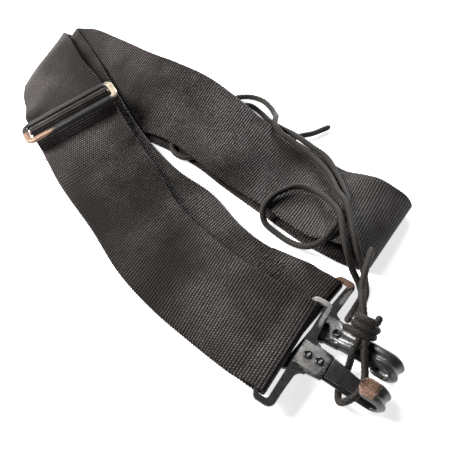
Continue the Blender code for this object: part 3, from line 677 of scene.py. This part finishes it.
# ---- mesh helpers
def closed_loft(name, rings, notes=None, joined=False):
    """A body through rings of points; `notes` gives each point its `weave` attribute."""
    sides = len(rings[0])
    faces = []
    last = len(rings) if joined else len(rings) - 1
    for i in range(last):
        here, there = i * sides, (i + 1) % len(rings) * sides
        for j in range(sides):
            k = (j + 1) % sides
            faces.append((here + j, here + k, there + k, there + j))
    if not joined:
        faces.append(tuple(range(sides))[::-1])
        faces.append(tuple((len(rings) - 1) * sides + j for j in range(sides)))
    mesh = bpy.data.meshes.new(name)
    mesh.from_pydata([tuple(point) for ring in rings for point in ring], [], faces)
    if notes:
        note(mesh, "weave", [value for ring in notes for value in ring])
    return mesh


def note(mesh, name, values):
    layer = mesh.attributes.new(name, "FLOAT_VECTOR", "POINT")
    layer.data.foreach_set("vector", [part for value in values for part in value])


def outwards(mesh):
    """Turns every face to look out of its body."""
    work = bmesh.new()
    work.from_mesh(mesh)
    bmesh.ops.recalc_face_normals(work, faces=work.faces)
    work.to_mesh(mesh)
    work.free()


def join_meshes(name, meshes):
    """One mesh of several, with their vector attributes kept."""
    work = bmesh.new()
    for mesh in meshes:
        work.from_mesh(mesh)
    joined = bpy.data.meshes.new(name)
    work.to_mesh(joined)
    work.free()
    return joined


def linked(name, data):
    """A new object of this data, in the scene."""
    obj = bpy.data.objects.new(name, data)
    SCENE.collection.objects.link(obj)
    return obj


def piece(name, mesh, finish, body, nodes=(), crease=None):
    """Shows a mesh as a piece of the object, riding on a CAD body."""
    outwards(mesh)
    mesh.materials.clear()
    mesh.materials.append(finish)
    mesh.shade_smooth()
    if crease is not None:
        mesh.set_sharp_from_angle(angle=math.radians(crease))
    obj = linked(name, mesh)
    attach(obj, body)
    if nodes:
        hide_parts(*nodes)
    return obj


def smoothstep(low, high, value):
    share = min(1.0, max(0.0, (value - low) / (high - low)))
    return share * share * (3 - 2 * share)


# ---- camera
def make_camera():
    data = bpy.data.cameras.new("camera")
    data.lens = CAMERA_LENS
    data.sensor_width = 36.0
    data.clip_start = 0.01
    camera = linked("camera", data)
    camera.location = at(*CAMERA_PLACE)
    camera.rotation_euler = (math.radians(CAMERA_TILT), 0.0, 0.0)
    SCENE.camera = camera


# ---- cord
def fine_line(points, step):
    points = [Vector(point) for point in points]
    return smooth_line(points, step_counts(points, step))


def braided_tube(name, line):
    """A braided cord along a line in layout millimetres."""
    rings, notes = [], []
    side = Vector((0.3, 0.2, 1.0))
    gone = 0.0
    for i, centre in enumerate(line):
        way = heading(line, i).normalized()
        side = (side - way * side.dot(way)).normalized()
        other = way.cross(side)
        gone += (centre - line[i - 1]).length if i else 0.0
        from_end = min(i, len(line) - 1 - i)
        swell = CORD_END_SWELL[from_end] if from_end < len(CORD_END_SWELL) else 1.0
        ring, ring_notes = [], []
        for angle in circle_angles(CORD_SIDES):
            lift = math.cos(angle * CORD_SIDES / 4) * math.cos(2 * math.pi * gone / BRAID_PITCH)
            radius = (CORD_RADIUS + BRAID_DEPTH * lift) * swell
            ring.append(at(*(centre + (side * math.cos(angle) + other * math.sin(angle)) * radius)))
            ring_notes.append((0.5 + 0.5 * lift, gone, 0.0))
        rings.append(ring)
        notes.append(ring_notes)
    return closed_loft(name, rings, notes)


def hairs(name, place, way, spread, count, length, seed):
    """Loose filaments that fan out from one place, as thin bent tapers."""
    draw = random.Random(seed)
    meshes = []
    for number in range(count):
        aim = (way + Vector([draw.uniform(-spread, spread) for _ in range(3)])).normalized()
        bend = Vector([draw.uniform(-0.6, 0.6) for _ in range(3)])
        side = aim.orthogonal().normalized()
        other = aim.cross(side)
        reach = length * draw.uniform(0.55, 1.0)
        rings = []
        for step in range(6):
            share = step / 5
            centre = place + aim * reach * share + bend * reach * 0.5 * share * share
            radius = HAIR_RADIUS * (1.0 - 0.65 * share)
            rings.append([at(*(centre + (side * math.cos(a) + other * math.sin(a)) * radius))
                          for a in HAIR_CORNERS])
        meshes.append(closed_loft(f"{name}_{number}", rings))
    return join_meshes(name, meshes)


def knot_line():
    """The wraps of the knot: a short coil that leans up and to the right."""
    axis = Vector((0.42, 0.6, 0.5)).normalized()
    across = axis.cross(Vector((-0.228, -0.445, 0.865))).normalized()
    deep = axis.cross(across)
    turns, height, points = 2.3, 8.6, []
    for step in range(29):
        share = step / 28
        angle = math.radians(200) + 2 * math.pi * turns * share
        points.append(KNOT_PLACE + axis * height * (share - 0.5)
                      + across * 5.9 * math.cos(angle) + deep * 4.4 * math.sin(angle))
    return [points[0] + Vector((-3.0, 3.5, -4.0))] + points + [points[-1] + Vector((2.6, 3.2, 1.5))]


def make_cords():
    braid, frayed = braided_cord(), frayed_nylon()
    loop_route = [NEAR.point(*place) for place in HOOK_LOOP_ROUTE]
    strands = [
        ("long_strand", LONG_ROUTE, "strap", "cord_long"),
        ("short_strand", SHORT_ROUTE, "strap", "cord_short"),
        ("tail_strand", TAIL_ROUTE, "near_hook", "cord_tail"),
        ("hook_loop_strand", loop_route, "near_hook", "cord_hook_loop"),
    ]
    made = {}
    for name, route, body, node in strands:
        mesh = braided_tube(name, fine_line(route, CORD_STEP))
        made[name] = (piece(name, mesh, braid, body, [node]), route, body)

    inside = [KNOT_PLACE + Vector(shift)
              for shift in ((0.6, -3.0, -2.0), (-0.4, 3.0, 2.0), (-1.5, -2.5, -2.0), (-2.0, 2.5, -2.0))]
    through = [[loop_route[0], *inside[:2], *TAIL_ROUTE[:2]],
               [loop_route[-1], *inside[2:], SHORT_ROUTE[0]]]
    meshes = [braided_tube("knot_turns", fine_line(knot_line(), CORD_STEP))]
    meshes += [braided_tube("knot_core", fine_line(line, CORD_STEP)) for line in through]
    knot = piece("knot_turns", join_meshes("knot_turns", meshes), braid, "near_hook",
                 ["cord_knot"])

    for name, number in (("long_strand", 11), ("short_strand", 5), ("tail_strand", 7)):
        _, route, body = made[name]
        end, before = Vector(route[-1]), Vector(route[-2])
        length = TAIL_FRAY if name == "tail_strand" else STRAND_FRAY
        mesh = hairs(f"{name}_fray", end, (end - before).normalized(), spread=0.75, count=12,
                     length=length, seed=number)
        piece(f"{name}_fray", mesh, frayed, body)

    for name, (obj, route, _) in made.items():
        line = fine_line(route, 1.5)
        length = sum((b - a).length for a, b in zip(line, line[1:])) * MM


# ---- webbing
def swell_at(point):
    """Height of the soft waves at a layout point; none where metal holds the band."""
    calm = 1.0
    for place, inner, outer in STILL_PLACES:
        calm *= smoothstep(inner, outer, (point - place).length)
    spot = Vector((point.x, point.y, 0.0)) / SWELL_LENGTH
    return SWELL * calm * noise.noise(spot) * NOISE_GAIN


def band_columns():
    """Distances from the left edge: close at the selvedges, wide in the middle."""
    edge = [0.0, 0.25, 0.8, 1.8, 3.2]
    middle = [WEBBING_WIDTH / 2 + (WEBBING_WIDTH / 2 - 6.0) * (k / 6) for k in range(-6, 7)]
    return edge + middle + [WEBBING_WIDTH - value for value in reversed(edge)]


def woven_band(name, lefts, rights, waves=True):
    """Webbing between two edge lines: round selvedges with the ribs' ends standing out."""
    columns = band_columns()
    centres = middles(zip(lefts, rights))
    rings, notes, gone = [], [], 0.0
    for i, centre in enumerate(centres):
        gone += (centre - centres[i - 1]).length if i else 0.0
        across = (rights[i] - lefts[i]).normalized()
        up = (rights[i] - lefts[i]).cross(heading(centres, i)).normalized()
        wave = SELVEDGE_WAVE if i % 2 else -SELVEDGE_WAVE
        top, bottom, top_notes, bottom_notes = [], [], [], []
        for column in columns:
            edge = min(column, WEBBING_WIDTH - column)
            inset = 1 - min(edge / SELVEDGE_ROUND, 1.0)
            half = WEBBING_THICKNESS / 2 * math.sqrt(max(0.0, 1 - inset ** 2))
            out = wave * (1.0 if edge < SELVEDGE_ROUND else 0.0) * (-1 if column < WEBBING_WIDTH / 2 else 1)
            point = lefts[i] + (rights[i] - lefts[i]) * (column / WEBBING_WIDTH) + across * out
            if waves:
                inside = 1 - (2 * column / WEBBING_WIDTH - 1) ** 4
                point = point + Vector((0, 0, max(swell_at(point) * inside, LOWEST_MIDDLE - point.z)))
            top.append(at(*(point + up * half)))
            top_notes.append((column, gone, 0.0))
            if half > 0.01:
                bottom.append(at(*(point - up * half)))
                bottom_notes.append((column, gone, 1.0))
        rings.append(top + bottom[::-1])
        notes.append(top_notes + bottom_notes[::-1])
    return closed_loft(name, rings, notes)


def make_webbing():
    woven = woven_webbing()
    lefts, rights, nodes = band_path(step=BAND_STEP)
    piece("webbing_band", woven_band("webbing_band", lefts, rights), woven, "strap", nodes)

    low = WEBBING_THICKNESS / 2 + TOUCH_GAP
    top = SLIDE_LIFT + CENTRE_BAR_RADIUS + low
    profile = [(-17.5, -1.3), (-13.5, -0.2), (-10.0, low), (-7.0, low + 0.2), (-4.6, 3.6), (-2.9, SLIDE_LIFT),
               (-1.8, top - 0.7), (0.0, top), (1.9, top - 0.7), (3.6, SLIDE_LIFT), (6.3, 4.8),
               (8.8, 2.4), (11.2, 0.2), (13.6, -1.4)]
    stations = [ruling(SLIDE.point(a, 0, u), SLIDE.across) for a, u in profile]
    counts = step_counts([left for left, _ in stations], BAND_STEP)
    mesh = woven_band("slide_webbing", *smooth_edges(stations, counts), waves=False)
    piece("slide_webbing", mesh, woven, "slide", ["slide_thread"])


def stitch(middle, way, up, length):
    """One stitch: a short rounded length of thread just over the band, lower at both ends."""
    side = up.cross(way).normalized()
    rings = []
    for share in (-0.5, -0.42, -0.25, 0.0, 0.25, 0.42, 0.5):
        centre = middle + way * length * share + up * (0.28 - 0.9 * share * share)
        radius = 0.32 * math.sqrt(max(0.06, 1 - (share / 0.52) ** 2))
        rings.append([at(*(centre + (side * math.cos(a) + up * math.sin(a)) * radius))
                      for a in circle_angles(8)])
    return closed_loft("stitch", rings)


def make_stitching():
    """The far tab's box stitch, stitch by stitch, with its crossing."""
    tab = sewn_tab(loop_stations(FAR_LOOP))
    spine = middles(tab)
    along = (spine[0] - spine[2]).normalized()
    up = along.cross(FAR_LOOP.across).normalized()
    side = up.cross(along)
    centre = spine[1] + up * (WEBBING_THICKNESS / 2 + TOUCH_GAP * 0.5)
    corners = [centre + along * a + side * w for a, w in ((-6.5, -20), (6.5, -20), (6.5, 20), (-6.5, 20))]
    rows = [(corners[k], corners[(k + 1) % 4]) for k in range(4)]
    rows += [(corners[0], corners[2]), (corners[1], corners[3])]
    meshes = []
    for start, end in rows:
        run = end - start
        count = max(2, round(run.length / STITCH_PITCH))
        for k in range(count):
            meshes.append(stitch(start + run * ((k + 0.5) / count), run.normalized(), up, STITCH_LENGTH))
    piece("box_stitching", join_meshes("box_stitching", meshes), sewing_thread(), "strap",
          ["far_tab_stitching"])


def make_loose_threads():
    """Filaments pulled out of the front run's edge below the slide."""
    way = (-SLIDE.across + SLIDE.along * 0.5).normalized()
    meshes = []
    for place_along, seed in ((20.0, 3), (30.0, 4)):
        root = SLIDE.point(place_along, THREAD_EDGE, 0)
        meshes.append(hairs(f"thread_{seed}", root, way, spread=0.6, count=5, length=4.5, seed=seed))
    piece("loose_threads", join_meshes("loose_threads", meshes), sewing_thread(), "strap")


# ---- hooks
def outline_heading(outline, i):
    """The way a closed outline goes at point i."""
    return (Vector(outline[(i + 1) % len(outline)]) - Vector(outline[i - 1])).normalized()


def slab_mesh(name, outline, low, high, bevel=0.0):
    """An outline in (along, across) as a body in hook millimetres, its edges rounded over."""
    middle = Vector((sum(a for a, _ in outline), sum(w for _, w in outline))) / len(outline)
    if bevel:
        steps = [0.0, 30.0, 60.0, 90.0]
        levels = [(low + bevel * (1 - math.cos(math.radians(s))), bevel * (1 - math.sin(math.radians(s))))
                  for s in steps]
        levels += [(high - (h - low), inset) for h, inset in levels[::-1]]
    else:
        levels = [(low, 0.0), (high, 0.0)]
    rings = []
    for height, inset in levels:
        ring = []
        for i, place in enumerate(outline):
            point = Vector(place)
            way = outline_heading(outline, i)
            inward = Vector((-way.y, way.x))
            if inward.dot(middle - point) < 0 and not is_hollow(outline, i):
                inward = -inward
            point = point + inward * inset
            ring.append((point.x, point.y, height))
        rings.append(ring)
    mesh = closed_loft(name, rings)
    outwards(mesh)
    return mesh


def smooth_ring(points, fine):
    """A closed ring of 2-D points, rounded through a spline."""
    points = [Vector((a, b, 0)) for a, b in points]
    count = len(points)
    found = []
    for i in range(count):
        p0, p1, p2, p3 = (points[(i + k) % count] for k in (-1, 0, 1, 2))
        found += [spline(p0, p1, p2, p3, j / fine) for j in range(fine)]
    return [(point.x, point.y) for point in found]


def arm_mesh(name):
    line = [Vector((a, 0, u)) for a, u in arm_line()]
    line = smooth_line(line, step_counts(line, 0.7))
    rings = []
    for i, centre in enumerate(line):
        way = heading(line, i).normalized()
        outward = Vector((way.z, 0, -way.x))
        share = i / (len(line) - 1)
        shrink = 0.45 + 0.55 * min(1.0, share / 0.1)
        section = smooth_ring(arm_section(arm_width(share)), 3)
        rings.append([centre + Vector((0, w, 0)) + outward * (o * shrink) for w, o in section])
    mesh = closed_loft(name, rings)
    outwards(mesh)
    return mesh


def cut_and_joined(name, base, changes):
    """The base mesh after each (other mesh, DIFFERENCE or UNION) has been worked into it."""
    helpers = [linked(name, base)] + [linked(f"{name}_helper", other) for other, _ in changes]
    for helper, (_, operation) in zip(helpers[1:], changes):
        modifier = helpers[0].modifiers.new(operation, "BOOLEAN")
        modifier.operation = operation
        modifier.solver = "EXACT"
        modifier.object = helper
    graph = bpy.context.evaluated_depsgraph_get()
    mesh = bpy.data.meshes.new_from_object(helpers[0].evaluated_get(graph))
    for helper in helpers:
        bpy.data.objects.remove(helper, do_unlink=True)
    return mesh


def placed(mesh, frame_matrix):
    """Keeps each point's own millimetres as the `place` attribute, then moves the mesh there."""
    note(mesh, "place", [tuple(vertex.co) for vertex in mesh.vertices])
    mesh.transform(frame_matrix)
    return mesh


def rivet_mesh(name, low, head):
    """A rivet: a domed head with a dimpled middle, a shank, and a flange with a dimple below."""
    foot = -PLATE_THICKNESS / 2 - TOUCH_GAP
    bore = [(0.02, low + 0.75), (0.95, low + 0.7), (1.15, low + 0.1), (1.4, low)]
    flange = [(RIVET_SHANK + 0.8, low), (RIVET_SHANK + 0.8, foot)]
    shank = [(RIVET_SHANK, foot), (RIVET_SHANK, head), (RIVET_HEAD - 0.1, head)]
    dome = [(RIVET_HEAD * share, head + height)
            for share, height in ((1, 0.15), (0.96, 0.55), (0.8, 0.95), (0.62, 1.1), (0.48, 0.98),
                                  (0.38, 0.55), (0.2, 0.45))]
    profile = bore + flange + shank + dome + [(0.02, head + 0.42)]
    rings = [[(r * math.cos(angle), r * math.sin(angle), h) for angle in circle_angles(32)]
             for r, h in profile]
    return closed_loft(name, rings)


def rivet_holes():
    """A cutter for each rivet's hole, through the plate or the gate's root."""
    outlines = [[(a + RIVET_HOLE * math.cos(angle), RIVET_HOLE * math.sin(angle))
                 for angle in circle_angles(HOLE_SIDES)] for a in RIVET_PLACES]
    return [(slab_mesh("hole", outline, -HOLE_CUT, HOLE_CUT), "DIFFERENCE") for outline in outlines]


def make_hook_body(side, matrix, paint):
    window = slab_mesh("window", full_outline(window_outline()), -WINDOW_CUT, WINDOW_CUT)
    changes = [(window, "DIFFERENCE"), (arm_mesh("arm"), "UNION")] + rivet_holes()
    half = PLATE_THICKNESS / 2
    plate = slab_mesh("plate", full_outline(ring_outline()), -half, half, bevel=0.55)
    body = cut_and_joined(f"{side}_snap_body", plate, changes)
    piece(f"{side}_snap_body", placed(body, matrix), paint, f"{side}_hook",
          [f"{side}_hook_body"], crease=38)


def make_gate(side, matrix, rest, low, high, paint):
    """The leaf spring: its root under the rivets, and its leaf, turned to how it rests."""
    half_root, half_tip, root_end = GATE_ROOT_WIDTH / 2, GATE_TIP_WIDTH / 2, GATE_HINGE - 0.5
    outline = [(GATE_ROOT_START, -half_root + 0.6), (root_end, -half_root + 1.0),
               (root_end, half_root - 1.0), (GATE_ROOT_START, half_root - 0.6)]
    root = cut_and_joined(f"{side}_gate_seat", slab_mesh("root", outline, low, high, bevel=0.3),
                          rivet_holes())
    piece(f"{side}_gate_seat", placed(root, matrix), paint, f"{side}_hook",
          [f"{side}_gate_root"], crease=38)

    outline = [(GATE_HINGE, -GATE_HINGE_WIDTH / 2), (GATE_END - 3.0, -half_tip)]
    outline += arc((GATE_END - half_tip, 0), half_tip, -60, 60, 16)
    outline += [(GATE_END - 3.0, half_tip), (GATE_HINGE, GATE_HINGE_WIDTH / 2)]
    leaf = slab_mesh(f"{side}_gate_spring", outline, low, high, bevel=0.3)
    pivot = Matrix.Translation((GATE_HINGE, 0, low))
    turn = pivot @ Matrix.Rotation(math.radians(-rest), 4, "Y") @ pivot.inverted()
    piece(f"{side}_gate_spring", placed(leaf, matrix @ turn), paint, f"{side}_gate",
          [f"{side}_gate_leaf"], crease=38)


def make_hook(side, place, gate_rest, body_paint, gate_paint, rivet_paint):
    matrix = place.matrix()
    root_low = PLATE_THICKNESS / 2 + TOUCH_GAP
    root_high = root_low + GATE_THICKNESS
    make_hook_body(side, matrix, body_paint)
    make_gate(side, matrix, gate_rest, root_low, root_high, gate_paint)

    low = -PLATE_THICKNESS / 2 - 0.9
    for spot, label in zip(RIVET_PLACES, ("inner", "outer")):
        mesh = rivet_mesh(f"{side}_rivet_head_{label}", low, root_high + TOUCH_GAP)
        shift = matrix @ Matrix.Translation((spot, 0, 0))
        piece(f"{side}_rivet_head_{label}", placed(mesh, shift), rivet_paint, f"{side}_hook",
              [f"{side}_rivet_{label}"], crease=50)


def make_hooks():
    """Both hooks; each spot of wear, and the rivets' painted highlight, is (centre, radii) in its own piece's
    millimetres.
    """
    near_paint = paint_with_wear_and_glints("near_hook_paint",
                            [((4.0, 31.5, 1.0), (8.0, 2.6, 2.2)), ((9.5, 24.0, 1.6), (1.6, 9.0, 0.9)),
                             ((-0.5, 28.5, 1.0), (2.2, 5.0, 2.0)), ((16.0, 0.0, 1.0), (7.5, 8.5, 2.5))],
                            [((44.0, 0.0, 8.6), (7.5, 7.5, 4.0))])
    far_paint = paint_with_wear_and_glints("far_hook_paint",
                           [((14.0, 0.0, -1.2), (8.0, 8.0, 1.6)), ((10.5, -22.0, -1.0), (1.6, 7.0, 1.4))],
                           [((3.5, -30.5, -1.0), (7.0, 4.6, 3.0))])
    gate_paint = paint_with_wear_and_glints("gate_paint", [((15.0, 0.0, 2.2), (9.5, 9.5, 3.0))], [])
    # The rivets' one bright spot, in the dimple of the dome, is a painted highlight.
    rivet_paint = paint_with_wear_and_glints("rivet_paint", [((0.0, 0.0, 3.4), (0.9, 0.9, 1.0))], [], base=0.006)
    make_hook("near", NEAR, NEAR_GATE_REST, near_paint, gate_paint, rivet_paint)
    make_hook("far", FAR_FLIPPED, FAR_GATE_REST, far_paint, gate_paint, rivet_paint)


# ---- slide
def make_slide():
    half_wide = SLIDE_WIDTH / 2
    route = rounded_box(SLIDE_LENGTH / 2 - SLIDE_BAR / 2, half_wide - SLIDE_SIDE / 2, SLIDE_CORNER, 10)
    section = rounded_box(SLIDE_BAR / 2, SLIDE_THICKNESS / 2, 1.0, 5)
    rings = []
    for i, (a, w) in enumerate(route):
        way = outline_heading(route, i)
        out = Vector((way.y, -way.x))
        rings.append([(a + out.x * o, w + out.y * o, u) for o, u in section])
    paint = paint_with_wear_and_glints("slide_paint",
                       [((2.0, 31.6, 0.8), (13.0, 3.6, 3.0))],
                       [((6.0, -30.0, 0.8), (8.5, 8.5, 3.0)), ((9.8, -22.0, 0.8), (2.6, 8.0, 2.0))],
                       bright=(0.66, 0.57, 0.43))
    tilt = Matrix.Rotation(-SLIDE_TILT, 4, "Y")
    matrix = SLIDE.matrix() @ Matrix.Translation((0, 0, SLIDE_LIFT)) @ tilt
    piece("slide_loop", placed(closed_loft("slide_loop", rings, joined=True), matrix), paint, "slide",
          ["slide_frame"], crease=60)

    length = half_wide - SLIDE_SIDE - TOUCH_GAP
    rings = []
    for w, share in ((-length, 0.8), (-length + 0.4, 1.0), (length - 0.4, 1.0), (length, 0.8)):
        radius = CENTRE_BAR_RADIUS * share
        rings.append([(radius * math.cos(angle), w, radius * math.sin(angle)) for angle in circle_angles(28)])
    piece("slide_cross_bar", placed(closed_loft("slide_cross_bar", rings), matrix), paint, "slide",
          ["slide_centre_bar"], crease=60)


# ---- stage
def soft_light(name, place, size, power, tint=(1.0, 1.0, 1.0)):
    data = bpy.data.lights.new(name, "AREA")
    data.shape = "DISK"
    data.size = size
    data.energy = power
    data.color = tint
    lamp = linked(name, data)
    lamp.location = place
    lamp.rotation_euler = (-Vector(place)).to_track_quat("-Z", "Y").to_euler()


def make_stage():
    reach = 2.5
    mesh = bpy.data.meshes.new("table")
    mesh.from_pydata([(-reach, -reach, 0), (reach, -reach, 0), (reach, reach, 0), (-reach, reach, 0)], [],
                     [(0, 1, 2, 3)])
    mesh.materials.append(white_table())
    floor = linked("table", mesh)
    floor.location = (0, 0, -TABLE_DROP)

    world = bpy.data.worlds.new("studio")
    world.use_nodes = True
    nodes, links = world.node_tree.nodes, world.node_tree.links
    direction = nodes.new("ShaderNodeTexCoord")
    split = nodes.new("ShaderNodeSeparateXYZ")
    sky = nodes.new("ShaderNodeValToRGB")
    links.new(direction.outputs["Generated"], split.inputs[0])
    links.new(split.outputs["Z"], sky.inputs["Fac"])
    links.new(sky.outputs["Color"], nodes["Background"].inputs["Color"])
    sky.color_ramp.elements[0].position = WALL_TOP
    sky.color_ramp.elements[0].color = (0.86, 0.86, 0.87, 1.0)
    sky.color_ramp.elements[1].position = CEILING_START
    sky.color_ramp.elements[1].color = (0.05, 0.05, 0.05, 1.0)
    SCENE.world = world
    SCENE.view_settings.view_transform = "Standard"
    soft_light("key", place=(-0.58, 0.1, 0.5), size=0.36, power=12.5, tint=(1.0, 0.97, 0.94))
    soft_light("rim", place=(0.2, 0.8, 0.42), size=0.3, power=10.0)


make_camera()
make_cords()
make_webbing()
make_stitching()
make_loose_threads()
make_hooks()
make_slide()
make_stage()
